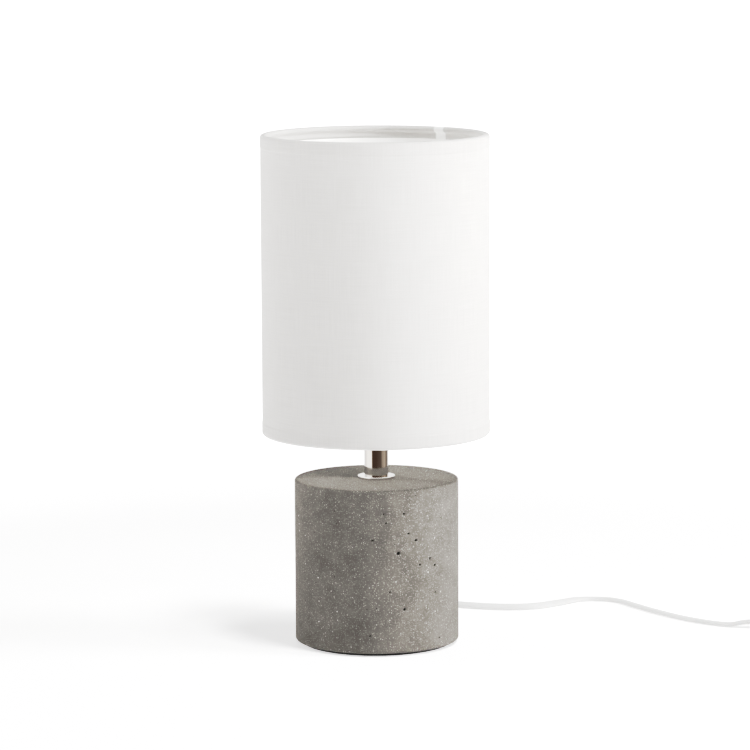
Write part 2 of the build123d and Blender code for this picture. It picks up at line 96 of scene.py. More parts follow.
def surface(name, points, wrap_rows=False, wrap_columns=True, caps=False, uv=None, **attributes):
    """A smooth mesh from points[row, column]; caps fans the first and last row to their middles.

    uv[row, column] becomes the UV map, and each attribute a number per point."""
    rows, columns = points.shape[:2]
    vertices = points.reshape(-1, 3)
    faces = quads(rows, columns, wrap_rows, wrap_columns).tolist()
    if caps:
        j = np.arange(columns)
        after_j = (j + 1) % columns
        first, last = len(vertices), len(vertices) + 1
        vertices = np.vstack([vertices, points[0].mean(axis=0), points[-1].mean(axis=0)])
        faces += np.stack([after_j, j, np.full(columns, first)], axis=-1).tolist()
        top = (rows - 1) * columns
        faces += np.stack([top + j, top + after_j, np.full(columns, last)], axis=-1).tolist()
    mesh = bpy.data.meshes.new(name)
    mesh.from_pydata(vertices.tolist(), [], faces)
    mesh.polygons.foreach_set("use_smooth", np.ones(len(faces), dtype=bool))
    if uv is not None:
        flat = uv.reshape(-1, 2)
        corner = np.empty(len(mesh.loops), dtype=np.int32)
        mesh.loops.foreach_get("vertex_index", corner)
        cornered = flat[np.minimum(corner, len(flat) - 1)]
        mesh.uv_layers.new(name="surface").data.foreach_set("uv", cornered.ravel())
    for key, values in attributes.items():
        whole = np.zeros(len(vertices))
        whole[: values.size] = values.ravel()
        mesh.attributes.new(key, "FLOAT", "POINT").data.foreach_set("value", whole)
    mesh.update()
    piece = bpy.data.objects.new(name, mesh)
    bpy.context.collection.objects.link(piece)
    print(name, "has", len(faces), "faces")
    return piece


def turned(radii, heights, azimuths):
    """Points of a lathe shape: radii[row, column] and heights[row, column] about the lamp's axis."""
    radii, heights = np.broadcast_arrays(radii, heights)
    return np.stack([radii * np.cos(azimuths), radii * np.sin(azimuths), heights], axis=-1)


def ease(t):
    """A smooth step: 0 below 0, 1 above 1, and flat at both ends."""
    t = np.clip(t, 0, 1)
    return t * t * (3 - 2 * t)


# %% [markdown]
# ## Shader maths as Python
# A material is a graph of nodes, and long graphs are hard to read as code. This class wraps
# one socket, so that `mask * 0.5 + grain` adds the Math nodes by itself, and `Finish` holds
# a material, its Principled shader and one method that makes any other node.

# %% Expressions on sockets
class Value:
    """A number that varies over a surface; arithmetic on it adds Math nodes."""

    def __init__(self, finish, socket):
        self.finish = finish
        self.socket = socket

    def maths(self, operation, *values):
        """A Math node on values that are sockets or plain numbers."""
        return self.finish.node("ShaderNodeMath", {"operation": operation}, dict(enumerate(values)))

    def __add__(self, other):
        return self.maths("ADD", self, other)

    def __sub__(self, other):
        return self.maths("SUBTRACT", self, other)

    def __mul__(self, other):
        return self.maths("MULTIPLY", self, other)

    def __rsub__(self, other):
        return self.maths("SUBTRACT", other, self)

    __radd__ = __add__
    __rmul__ = __mul__

    def band(self, low, high):
        """0 below low, 1 above high, and a smooth step between them; low may be the larger."""
        settings = {"interpolation_type": "SMOOTHSTEP"}
        if low > high:
            return 1 - self.band(high, low)
        inputs = {"Value": self, "From Min": low, "From Max": high}
        return self.finish.node("ShaderNodeMapRange", settings, inputs)


class Finish:
    """A material with one Principled shader."""

    def __init__(self, name, colour, roughness=0.5, metallic=0.0, **constants):
        self.material = bpy.data.materials.new(name)
        self.material.use_nodes = True
        self.tree = self.material.node_tree
        self.shader = self.tree.nodes["Principled BSDF"]
        self.material.diffuse_color = (*colour, 1)
        self.feed(Base_Color=(*colour, 1), Roughness=roughness, Metallic=metallic, **constants)
        self.object_point = None

    def plug(self, socket, value):
        """Link a Value, or set a plain number or colour."""
        if isinstance(value, Value):
            self.tree.links.new(value.socket, socket)
        else:
            socket.default_value = value

    def feed(self, **inputs):
        """Set or link inputs of the shader; an underscore stands for a space."""
        for key, value in inputs.items():
            self.plug(self.shader.inputs[key.replace("_", " ")], value)

    def node(self, kind, settings=None, inputs=None, output=0):
        """Make a node: its settings first, then its inputs; returns one output."""
        made = self.tree.nodes.new(kind)
        for key, value in (settings or {}).items():
            setattr(made, key, value)
        for key, value in (inputs or {}).items():
            self.plug(made.inputs[key], value)
        return Value(self, made.outputs[output])

    def place(self, scale=(1, 1, 1)):
        """Object coordinates, stretched for a pattern."""
        if self.object_point is None:
            self.object_point = self.node("ShaderNodeTexCoord", output="Object")
        return self.node("ShaderNodeMapping", None, {"Vector": self.object_point, "Scale": scale})

    def noise(self, size, detail=2.0, vector=None, rough=0.5):
        """Cloudy noise about 0.5, its features about size metres across."""
        inputs = {"Scale": 1 / size, "Detail": detail, "Roughness": rough, "Vector": vector or self.place()}
        return self.node("ShaderNodeTexNoise", None, inputs)

    def mix(self, factor, low, high):
        """A colour between two colours."""
        return self.node("ShaderNodeMix", {"data_type": "RGBA"}, {0: factor, 6: low, 7: high}, output=2)

    def bump(self, height, depth, strength=1.0):
        """Feed the shader's normal from a height of 0 to 1, depth metres deep."""
        inputs = {"Height": height, "Distance": depth, "Strength": strength}
        self.feed(Normal=self.node("ShaderNodeBump", None, inputs))
        return self


def rgb(red, green, blue):
    """A colour with alpha, from linear parts."""
    return (red, green, blue, 1)


def dress(node, finish):
    """Give a carried-over part its finish."""
    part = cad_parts[node]
    part.data.materials.clear()
    part.data.materials.append(finish.material)


def settle(piece, finish, body="lamp"):
    """Finish a new piece: its material and the body it rides on."""
    piece.data.materials.append(finish.material)
    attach(piece, body)
    return piece


# %% [markdown]
# ## The cord's line
# The cord is a flat cable with two cores. Its line is a quadratic NURBS spline through the
# places where a hand would lay it: out of the gland at the back of the base, down to the table
# and along it in lazy bends to the switch. What is left over is wound up and tied.

# %% The route to the switch
CORD_WIDTH = 5.0 * MM
CORD_THICK = 2.9 * MM
LAY = CORD_WIDTH / 2
GLAND_TIP = 76 * MM
GLAND_HEIGHT = 10 * MM
SWITCH_ENTRY = 4.6 * MM
SWITCH_Y = 34 * MM
SWITCH_ENDS = (264 * MM, 326 * MM)

ON_TABLE = [(25, 118), (42, 116), (60, 106), (83, 98.5), (106, 98.5), (125, 111.5), (140, 127.5), (155, 130),
            (168.5, 122.5), (179, 103), (191.5, 83), (206.5, 62), (223, 46), (238, 37)]
to_switch = [(0, GLAND_TIP, GLAND_HEIGHT), (0, 0.088, GLAND_HEIGHT)]
to_switch += [(0.0025, 0.101, 0.0076), (0.011, 0.1125, 0.0036)]
to_switch += [(x * MM, y * MM, LAY) for x, y in ON_TABLE]
to_switch += [(0.2515, SWITCH_Y, SWITCH_ENTRY), (SWITCH_ENDS[0], SWITCH_Y, SWITCH_ENTRY)]

# %% The coil and the plug's tail
COIL_X, COIL_Y = 325 * MM, 84 * MM
TURN_RADII = (32.5 * MM, 27.5 * MM, 22.5 * MM, 17.5 * MM)
POINTS_A_TURN = 18
TURNS = 2 * len(TURN_RADII)
CROSSING = 0.78
TAIL_HEIGHT = 6.7 * MM
PLUG_X, PLUG_Y = 355 * MM, 126 * MM


def coil_points():
    """Turns as control points: four rings inwards on the table, then four outwards on top.

    Each turn keeps its radius for most of the way round and crosses to the next at its end. The
    spline cuts across the corners of its control points, so they stand out by half of what it cuts."""
    turn = np.arange(1, TURNS * POINTS_A_TURN) / POINTS_A_TURN
    radii = np.array([*TURN_RADII, *reversed(TURN_RADII), TURN_RADII[0]])
    layer = np.array([0.0] * len(TURN_RADII) + [1.0] * (len(TURN_RADII) + 1))
    whole = turn.astype(int)
    cross = ease((turn - whole - CROSSING) / (1 - CROSSING))
    radius = radii[whole] + (radii[whole + 1] - radii[whole]) * cross
    radius = radius / (0.5 + 0.5 * math.cos(math.pi / POINTS_A_TURN))
    height = LAY + CORD_WIDTH * (layer[whole] + (layer[whole + 1] - layer[whole]) * cross)
    angle = 2 * math.pi * turn
    return np.stack([COIL_X + radius * np.cos(angle), COIL_Y + radius * np.sin(angle), height], axis=-1)


to_coil = [(SWITCH_ENDS[1], SWITCH_Y, SWITCH_ENTRY), (0.338, SWITCH_Y, SWITCH_ENTRY)]
to_coil += [(0.3505, 0.0375, 0.0032), (0.3595, 0.0465, LAY)]
to_coil += [(0.363, 0.059, LAY), (0.361, 0.072, LAY), (0.3578, 0.081, LAY)]
to_coil += coil_points().tolist()
to_coil += [(0.3573, 0.088, 0.0075), (0.3568, 0.096, 0.0075), (0.3558, 0.105, 0.0074)]
to_coil += [(PLUG_X, 0.1155, TAIL_HEIGHT), (PLUG_X, PLUG_Y, TAIL_HEIGHT)]


# %% [markdown]
# ## From a line to a cable
# Blender works out the spline, and the cable's section is carried along it as an array.
# The section is two round cores side by side under one sheath, so the cable is wider than it
# is thick. It rolls a little about its own line as it lies, and stands on edge in the coil,
# because it bends easily only across its thin side.

# %% Spline and section
def spline_line(name, points, steps):
    """The points along a quadratic NURBS spline whose control points are the route."""
    curve = bpy.data.curves.new(name, "CURVE")
    curve.dimensions = "3D"
    curve.resolution_u = steps
    spline = curve.splines.new("NURBS")
    spline.points.add(len(points) - 1)
    spline.points.foreach_set("co", np.column_stack([points, np.ones(len(points))]).ravel())
    spline.order_u = 3
    spline.use_endpoint_u = True
    holder = bpy.data.objects.new(name, curve)
    bpy.context.collection.objects.link(holder)
    bpy.context.view_layer.update()
    mesh = bpy.data.meshes.new_from_object(holder)
    line = np.empty(len(mesh.vertices) * 3)
    mesh.vertices.foreach_get("co", line)
    bpy.data.objects.remove(holder)
    bpy.data.meshes.remove(mesh)
    return line.reshape(-1, 3)


SECTION_POINTS = 22


def cable_section():
    """Width and thickness offsets around the sheath: two half rounds and a shallow groove."""
    t = 2 * np.pi * np.arange(SECTION_POINTS) / SECTION_POINTS
    core = CORD_THICK / 2
    spread = CORD_WIDTH / 2 - core
    wide = spread * np.clip(1.5 * np.cos(t), -1, 1) + core * np.cos(t)
    groove = 1 - 0.16 * np.exp(-((wide / (0.45 * spread)) ** 2))
    return wide, core * np.sin(t) * groove


def along(line):
    """Distance along a line at each of its points."""
    return np.concatenate([[0], np.cumsum(np.linalg.norm(np.diff(line, axis=0), axis=1))])


def cable(name, line, roll):
    """Carry the section along the line, turned about it by roll (0 lies flat, a quarter turn stands)."""
    tangent = np.gradient(line, axis=0)
    tangent /= np.linalg.norm(tangent, axis=1, keepdims=True)
    side = np.cross([0, 0, 1], tangent)
    side /= np.linalg.norm(side, axis=1, keepdims=True)
    up = np.cross(tangent, side)
    cos, sin = np.cos(roll)[:, None], np.sin(roll)[:, None]
    across, through = side * cos + up * sin, up * cos - side * sin
    wide, thick = cable_section()
    points = line[:, None] + wide[None, :, None] * across[:, None] + thick[None, :, None] * through[:, None]
    uv = np.stack(np.broadcast_arrays(along(line)[:, None], np.linspace(0, 1, SECTION_POINTS)[None]), axis=-1)
    return surface(name, points[:, ::-1], caps=True, uv=uv)


def resting(line, roll):
    """Lower a line that lies on the table until the rolled section touches it."""
    core = CORD_THICK / 2
    half = core + (CORD_WIDTH / 2 - core) * np.abs(np.sin(roll))
    lowered = line.copy()
    lowered[:, 2] -= (LAY - half) * ease((LAY * 1.5 - line[:, 2]) / (LAY * 0.5))
    return lowered


# %% Make the two lengths of cord
line = spline_line("to_switch", to_switch, 14)
LEAN = math.radians(38)
roll = LEAN * (1 - ease((line[:, 0] - 0.118) / 0.035)) * ease((line[:, 1] - 0.078) / 0.02) + 0.04
switch_line = resting(line, roll)
supply_cord = cable("supply_cord", switch_line, roll)

line = spline_line("to_plug", to_coil, 6)
travel = along(line)
standing = ease((travel - 0.03) / 0.05) * ease((travel[-1] - 0.008 - travel) / 0.035)
roll = math.radians(90) * standing
plug_line = resting(line, roll)
coiled_cord = cable("coiled_cord", plug_line, roll)
print("cord lengths", along(switch_line)[-1], along(plug_line)[-1])

# %% [markdown]
# The sheath is plain soft plastic with a satin skin: a faint cloudiness in its gloss, and
# small dents along its length.

# %% Cord finish
cord_finish = Finish("cord sheath", (0.62, 0.62, 0.615), 0.42)
cloud = cord_finish.noise(0.004, 3)
cord_finish.feed(Roughness=cloud * 0.2 + 0.32)
sheath_colour = cord_finish.mix(cord_finish.noise(0.02), rgb(0.58, 0.58, 0.575), rgb(0.66, 0.66, 0.655))
cord_finish.feed(Base_Color=sheath_colour)
cord_finish.bump(cloud, 0.00005)

settle(supply_cord, cord_finish)
settle(coiled_cord, cord_finish)
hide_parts("cord_to_switch")
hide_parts("cord_to_coil", "cord_coil", "cord_to_plug")
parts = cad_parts

# %% [markdown]
# ## The shade's cloth
# A strip of woven cloth is bonded to a stiff liner, bent into a drum and lapped at one seam.
# At each rim it goes over the wire ring and is tucked under it against the liner. The whole
# cover is one closed surface: its section is a line through the cloth's middle with half the
# cloth's thickness on each side, turned about the lamp's axis.

# %% The section of the cover
SHADE_LOW, SHADE_HIGH = (corner[2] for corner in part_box("shade_fabric"))
SHADE_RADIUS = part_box("shade_fabric")[1][0]
RING_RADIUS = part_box("top_ring")[1][0] - 1.2 * MM
RING_INSET = 1.9 * MM
CLOTH = 0.45 * MM
BEND = 1.75 * MM
HEM = 8.5 * MM
WALL = SHADE_RADIUS - 0.25 * MM
TUCK = 73.4 * MM


def rim_half():
    """The middle line of the cloth from the mid-height of the wall over the top rim to the tuck."""
    ring = SHADE_HIGH - RING_INSET
    middle = (SHADE_LOW + SHADE_HIGH) / 2
    below_hem, above_edge = SHADE_HIGH - HEM - 1 * MM, SHADE_HIGH - HEM + 1 * MM
    wall = np.concatenate([np.linspace(middle, below_hem, 22, endpoint=False),
                           np.linspace(below_hem, above_edge, 8, endpoint=False),
                           np.linspace(above_edge, ring, 6, endpoint=False)])
    inner = RING_RADIUS - BEND
    half_width = (WALL - inner) / 2
    t = np.linspace(0, np.pi, 15)
    over_height = ring + (RING_INSET - CLOTH / 2) * np.sin(t)
    over = np.stack([inner + half_width * (1 + np.cos(t)), over_height], axis=-1)
    t = np.linspace(0, np.pi / 2, 7)[1:]
    under = np.stack([RING_RADIUS - BEND * np.cos(t), ring - BEND * np.sin(t)], axis=-1)
    tuck = np.array([[TUCK - 0.4 * MM, ring - 2.3 * MM], [TUCK, ring - 3 * MM], [TUCK, ring - 4.5 * MM],
                     [TUCK, SHADE_HIGH - HEM]])
    return np.vstack([np.stack([np.full_like(wall, WALL), wall], axis=-1), over, under, tuck])


top_half = rim_half()
flipped = top_half[1:] * [1, -1] + [0, SHADE_LOW + SHADE_HIGH]
middle_line = np.vstack([flipped[::-1], top_half])
step = np.gradient(middle_line, axis=0)
step /= np.linalg.norm(step, axis=1, keepdims=True)
outward = np.stack([step[:, 1], -step[:, 0]], axis=-1)
section = np.vstack([middle_line + outward * CLOTH / 2, (middle_line - outward * CLOTH / 2)[::-1]])
print("cover section has", len(section), "points")

# %% [markdown]
# The lap of the seam stands a little proud over a narrow band, and so do the two hems. Both are
# steps in the radius. A taut cover still isn't a perfect cylinder: it bulges by a few hundredths
# of a millimetre where the cloth was pulled, which shows in the light that grazes it. Two masks
# go with the mesh, for the finish: the hems, where it paints shade, and the lap as it is seen
# from the inside.

# %% Turn the cover
SEAM_AZIMUTH = math.radians(53)
SEAM_WIDTH = 9 * MM
SEAM_EDGE = 0.9 * MM
HEM_STEP, LAP_STEP, BULGE = 0.22 * MM, 0.2 * MM, 0.02 * MM
AROUND = 640

azimuth = 2 * np.pi * np.arange(AROUND) / AROUND
from_seam = ((azimuth - SEAM_AZIMUTH + np.pi) % (2 * np.pi) - np.pi) * SHADE_RADIUS
lap = ease((from_seam + SEAM_WIDTH / 2) / SEAM_EDGE) * ease((SEAM_WIDTH / 2 - from_seam) / SEAM_EDGE)
radius, height = section[:, :1], section[:, 1:]
edge_distance = np.minimum(height - SHADE_LOW, SHADE_HIGH - height)
on_wall = ease((radius - WALL + 0.5 * MM) / (0.4 * MM))
in_hem = ease((HEM + 0.5 * MM - edge_distance) / (1 * MM))
pull = np.sin(3 * azimuth + 1.0) * np.sin(60 * height + 0.5) + 0.6 * np.sin(7 * azimuth - 35 * height)
relief = on_wall * (HEM_STEP * in_hem + BULGE * pull + LAP_STEP * lap[None])
cover_radius = np.minimum(radius - 0.2 * MM * on_wall + relief, SHADE_RADIUS + 0.3 * MM)
length_up = along(np.column_stack([section, np.zeros(len(section))]))
cloth_uv = np.stack(np.broadcast_arrays((azimuth * SHADE_RADIUS)[None], length_up[:, None]), axis=-1)
# The hems' mask, where the cloth's finish paints shade.
hem = np.repeat(in_hem * on_wall, AROUND, axis=1)
inside_lap = lap[None] * (1 - on_wall)
shade_cloth = surface("shade_cloth", turned(cover_radius, height, azimuth), wrap_rows=True, uv=cloth_uv,
                      hem=hem, inside_lap=inside_lap)

# %% [markdown]
# ## Woven white cloth
# The weave is finer than half a millimetre, so it reads as a soft grain with a few thicker
# threads. Warp and weft are two sets of bands along the cover's own UV map, in metres, each
# thread a little lighter or darker than its neighbour.

# %% Cloth finish
THREAD = 0.42 * MM


def woven(name, light, dark, thread):
    """A plain weave on the UV map, with slubs and cloudiness, painted shade on the hems and a pale lap
    inside.
    """
    finish = Finish(name, light, 0.85, Sheen_Weight=0.25, Sheen_Roughness=0.45)
    uv = finish.node("ShaderNodeUVMap", {"uv_map": "surface"})
    grains = []
    for stretch in ((1, 0.02, 1), (0.02, 1, 1)):
        stretched = finish.node("ShaderNodeMapping", None, {"Vector": uv, "Scale": stretch})
        grains.append(finish.noise(thread * 1.3, 1, stretched))
    weave = []
    for direction in ("X", "Y"):
        waves = {"Vector": uv, "Scale": 1 / thread / 3.2, "Distortion": 0.6, "Detail": 1.0}
        settings = {"bands_direction": direction, "wave_profile": "SIN"}
        weave.append(finish.node("ShaderNodeTexWave", settings, waves, output="Fac"))
    slub = (grains[0] + grains[1]) * 0.5
    cloth = slub * 0.7 + weave[0] * 0.12 + weave[1] * 0.12 + finish.noise(0.03, 2) * 0.12
    hem_shade = finish.node("ShaderNodeAttribute", {"attribute_name": "hem"}, output="Fac")
    # Painted shade: the hems are painted darker, for the light that the doubled cloth holds back.
    colour = finish.mix(cloth.band(0.25, 0.8) - hem_shade * 0.15, rgb(*dark), rgb(*light))
    inside_lap = finish.node("ShaderNodeAttribute", {"attribute_name": "inside_lap"}, output="Fac")
    finish.feed(Base_Color=finish.mix(inside_lap, colour, rgb(0.82, 0.82, 0.81)))
    finish.bump(cloth, 0.00012, 0.6)
    return finish


shade_finish = woven("shade cloth", (0.56, 0.55, 0.537), (0.465, 0.455, 0.442), THREAD)
settle(shade_cloth, shade_finish, "shade")
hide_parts("shade_fabric")

# %% [markdown]
# ## The liner's joint
# Inside, the stiff sheet overlaps itself at the seam, and a strip of clear film holds the lap.
# It is a small curved strip just inside the liner.

# %% Liner tape
LINER_INSIDE = 73.68 * MM
TAPE_WIDTH = 14 * MM
TAPE_THICK = 0.15 * MM
TAPE_POINTS = 9
across = (np.linspace(-0.5, 0.5, TAPE_POINTS) * TAPE_WIDTH) / LINER_INSIDE + SEAM_AZIMUTH
ring_low, ring_high = SHADE_LOW + HEM + 1 * MM, SHADE_HIGH - HEM - 1 * MM
loop_azimuth = np.concatenate([across, across[::-1]])
loop_radius = np.repeat([LINER_INSIDE, LINER_INSIDE - TAPE_THICK], TAPE_POINTS)
loop_radius[[0, TAPE_POINTS - 1, TAPE_POINTS, -1]] += np.array([-0.02, -0.02, 0.04, 0.04]) * MM
tape_heights = np.linspace(ring_low, ring_high, 24)[:, None] * np.ones((1, 2 * TAPE_POINTS))
tape_points = turned(np.broadcast_to(loop_radius, tape_heights.shape), tape_heights, loop_azimuth)
liner_tape = surface("liner_tape", tape_points, caps=True)
tape_finish = Finish("clear film", (0.93, 0.93, 0.92), 0.28)
tape_finish.bump(tape_finish.noise(0.01, 2), 0.0001)
settle(liner_tape, tape_finish, "shade")

# %% [markdown]
# The liner is a smooth white sheet, so the cloth behind it only shows as a faint cloudiness.

# %% Liner finish
liner_finish = Finish("liner sheet", (0.86, 0.855, 0.84), 0.45)
liner_cloud = liner_finish.noise(0.02, 3)
liner_finish.feed(Base_Color=liner_finish.mix(liner_cloud, rgb(0.82, 0.815, 0.80), rgb(0.88, 0.875, 0.865)))
liner_finish.feed(Roughness=liner_cloud * 0.15 + 0.4)
dress("shade_liner", liner_finish)

# %% [markdown]
# ## The concrete block
# The block is cast in a mould: its walls are smooth but not perfect, the edges are a little
# rounded, and air bubbles leave open pores. Its section is one closed outline, with the
# recess under it and the hole for the rod, and the pores are dents pressed into the wall.

# %% The block's outline
BLOCK_LOW, BLOCK_HIGH = (corner[2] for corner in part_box("concrete_base"))
BLOCK_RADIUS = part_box("concrete_base")[1][0]
EDGE = 1.5 * MM
RECESS = 35 * MM
RECESS_TOP = 28 * MM
BORE = 5.5 * MM


def straight(start, end, count):
    """Points from start up to, but not including, end."""
    t = np.linspace(0, 1, count, endpoint=False)[:, None]
    return np.array(start) * (1 - t) + np.array(end) * t


def quarter(centre, radius, start, end, count=6):
    """A quarter round about a centre, in degrees, without its last point."""
    t = np.radians(np.linspace(start, end, count, endpoint=False))
    return np.array(centre) + radius * np.stack([np.cos(t), np.sin(t)], axis=-1)


shoulder = BLOCK_RADIUS - EDGE
outline = np.vstack([
    straight((RECESS, BLOCK_LOW), (shoulder, BLOCK_LOW), 6),
    quarter((shoulder, BLOCK_LOW + EDGE), EDGE, -90, 0),
    straight((BLOCK_RADIUS, BLOCK_LOW + EDGE), (BLOCK_RADIUS, BLOCK_HIGH - EDGE), 138),
    quarter((shoulder, BLOCK_HIGH - EDGE), EDGE, 0, 90),
    straight((shoulder, BLOCK_HIGH), (BORE, BLOCK_HIGH), 26),
    straight((BORE, BLOCK_HIGH), (BORE, RECESS_TOP), 6),
    straight((BORE, RECESS_TOP), (RECESS, RECESS_TOP), 5),
    straight((RECESS, RECESS_TOP), (RECESS, BLOCK_LOW), 4),
])

# %% [markdown]
# A pore is a round pit: degrees to the right of the front, height and radius. The large ones are
# listed one by one, and small ones are scattered all round with a seeded random generator.

# %% Pores and the wall
PLACED_PORES = [(15, 68.2, 1.1), (28.3, 76.0, 0.75), (19.2, 94, 0.62), (6.4, 88.4, 0.6), (5, 94.4, 0.55),
                (40.2, 63, 0.7), (44.6, 58, 0.85), (31.4, 59.6, 0.6), (51.6, 88, 0.6), (45, 40, 0.6),
                (19.4, 31, 0.75), (9, 43, 0.5), (-2.9, 77, 0.55), (22.5, 80.8, 0.6), (-4.8, 14, 0.5),
                (49, 9, 0.65)]
draw = np.random.default_rng(11)
SCATTERED = 46
scattered = np.column_stack([draw.uniform(70, 285, SCATTERED), draw.uniform(6, 104, SCATTERED),
                             draw.uniform(0.4, 1.0, SCATTERED)])
pores = np.vstack([PLACED_PORES, scattered])

PIT_DEPTH = 0.9 * MM
BLOCK_AROUND = 440
block_azimuth = 2 * np.pi * np.arange(BLOCK_AROUND) / BLOCK_AROUND
radius = np.repeat(outline[:, :1], BLOCK_AROUND, axis=1)
height = np.repeat(outline[:, 1:], BLOCK_AROUND, axis=1)
on_wall = (outline[:, 0] > BLOCK_RADIUS - 0.01 * MM)[:, None]
waves = np.sin(2 * block_azimuth + 40 * height) + np.sin(5 * block_azimuth - 90 * height + 2)
radius = radius - on_wall * 0.03 * MM * (1 + 0.5 * waves)
pit = np.zeros_like(radius)
for degrees, up, size in pores:
    centre = math.radians(degrees - 90)
    sideways = ((block_azimuth - centre + np.pi) % (2 * np.pi) - np.pi) * BLOCK_RADIUS
    distance = np.hypot(sideways[None], height - up * MM)
    pit = np.maximum(pit, ease((size * MM * 1.25 - distance) / (size * MM * 0.7)) * on_wall)
radius = radius - pit * PIT_DEPTH
# Painted shadow: a mask of the top face, which the finish paints darker for the shade's shadow.
crown = ease((height - height.max() + 1.2 * MM) / (1 * MM))
concrete_block = surface("concrete_block", turned(radius, height, block_azimuth), wrap_rows=True, pit=pit,
                         crown=crown)

# %% [markdown]
# ## Concrete with fine white aggregate
# The cement is a warm grey that is cloudy at two sizes. The aggregate shows as small white
# specks: a cell pattern gives each cell a point and a random number, and a speck is the
# neighbourhood of a point whose number is high. The pits and pinholes are painted near black
# inside: painted shade in their hollows. The top face is painted darker than the wall: a
# painted shadow, for the shadow that the shade doesn't throw on it here.

# %% Concrete finish
concrete = Finish("concrete", (0.2, 0.19, 0.175), 0.82)


def specks(cell, share, reach):
    """A mask of round grains, one to a cell of that size, in that share of the cells."""
    inputs = {"Scale": 1 / cell, "Vector": concrete.place(), "Randomness": 1.0}
    near = concrete.node("ShaderNodeTexVoronoi", {"feature": "F1"}, inputs, output="Distance")
    colour = concrete.node("ShaderNodeTexVoronoi", {"feature": "F1"}, inputs, output="Color")
    chance = concrete.node("ShaderNodeSeparateColor", None, {"Color": colour}, output="Red")
    tone = concrete.node("ShaderNodeSeparateColor", None, {"Color": colour}, output="Green")
    return near.band(reach, reach * 0.45) * chance.band(1 - share, 1 - share * 0.6) * (tone * 0.7 + 0.3)


grit = specks(0.7 * MM, 0.6, 0.5)
grains = specks(1.2 * MM, 0.4, 0.36)
stones = specks(4.2 * MM, 0.22, 0.15)
mottle = concrete.noise(0.009, 4, rough=0.6) * 0.6 + concrete.noise(0.03, 3) * 0.4
# Painted shade: the pits are painted near black inside, for the shade in their hollows.
pit_shade_mask = concrete.node("ShaderNodeAttribute", {"attribute_name": "pit"}, output="Fac")
# The pinholes are dents in the bump, and painted shade in the colour: near black where they are.
pinholes_and_shade = specks(6.5 * MM, 0.3, 0.085)
cement = concrete.mix(mottle.band(0.2, 0.8), rgb(0.108, 0.103, 0.095), rgb(0.172, 0.164, 0.152))
# The top face is painted darker: a painted shadow of the shade, which throws no shadow here.
crown_mask = concrete.node("ShaderNodeAttribute", {"attribute_name": "crown"}, output="Fac")
cement = concrete.mix(crown_mask * 0.5, cement, rgb(0.075, 0.071, 0.064))
spotted = concrete.mix(grit * 0.5, cement, rgb(0.42, 0.41, 0.39))
spotted = concrete.mix(grains * 0.7, spotted, rgb(0.50, 0.49, 0.47))
spotted = concrete.mix(stones * 0.9, spotted, rgb(0.66, 0.65, 0.63))
# The pits get their painted shade here.
with_pit_shade = concrete.mix(pit_shade_mask.band(0.15, 0.7), spotted, rgb(0.012, 0.011, 0.010))
concrete.feed(Base_Color=concrete.mix(pinholes_and_shade, with_pit_shade, rgb(0.02, 0.018, 0.016)))
concrete.feed(Roughness=mottle * 0.25 + 0.66)
concrete.bump(mottle * 0.6 + grit * 0.15 - pinholes_and_shade, 0.00025, 0.7)
settle(concrete_block, concrete)
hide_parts("concrete_base")

# %% [markdown]
# ## Felt under the block
# A disc of pressed felt closes the recess. Its edge is rounded and a little uneven, as cut
# felt is, and its fibres lie in every direction.

# %% Felt disc
FELT_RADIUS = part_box("felt_pad")[1][0]
FELT_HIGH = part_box("felt_pad")[1][2]
FELT_AROUND = 240
felt_azimuth = 2 * np.pi * np.arange(FELT_AROUND) / FELT_AROUND
turn_edge = np.linspace(-np.pi / 2, np.pi / 2, 9)
ragged = 0.15 * MM * (np.sin(17 * felt_azimuth) + np.sin(29 * felt_azimuth + 1)) / 2 - 0.2 * MM
rings = np.array([0.2, 0.4, 0.6, 0.8, 0.95]) * FELT_RADIUS
felt_edge = FELT_RADIUS - FELT_HIGH / 2 + FELT_HIGH / 2 * np.cos(turn_edge)
felt_radius = np.concatenate([rings, felt_edge, rings[::-1]])
edge_height = FELT_HIGH / 2 * (1 + np.sin(turn_edge))
felt_height = np.concatenate([np.zeros(len(rings)), edge_height, np.full(len(rings), FELT_HIGH)])
wobble = ragged[None] * (felt_radius / FELT_RADIUS)[:, None] ** 4
felt_points = turned(felt_radius[:, None] + wobble, felt_height[:, None], felt_azimuth)
felt_disc = surface("felt_disc", felt_points, caps=True)

felt = Finish("felt", (0.03, 0.03, 0.03), 0.95, Sheen_Weight=0.3, Sheen_Roughness=0.6)
fibres = felt.noise(0.0006, 5, rough=0.7)
felt.feed(Base_Color=felt.mix(fibres.band(0.35, 0.7), rgb(0.018, 0.018, 0.018), rgb(0.06, 0.06, 0.058)))
felt.bump(fibres, 0.0004)
settle(felt_disc, felt)
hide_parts("felt_pad")

# %% [markdown]
# ## Metals
# The stem is chromed brass: a mirror with almost invisible polishing lines. Nuts and washers
# are zinc plated, which is cloudy, and the contacts are bare brass.

# %% Metal finishes
def bare_metal(name, colour, roughness, spread, grain, stretch=(1, 1, 1)):
    """A metal whose gloss varies by spread over features grain metres across."""
    finish = Finish(name, colour, roughness, metallic=1.0)
    cloud = finish.noise(grain, 3, finish.place(stretch))
    finish.feed(Roughness=cloud * spread + (roughness - spread / 2))
    darker = tuple(0.82 * c for c in colour)
    finish.feed(Base_Color=finish.mix(cloud, rgb(*darker), rgb(*colour)))
    return finish.bump(cloud, 0.00002)


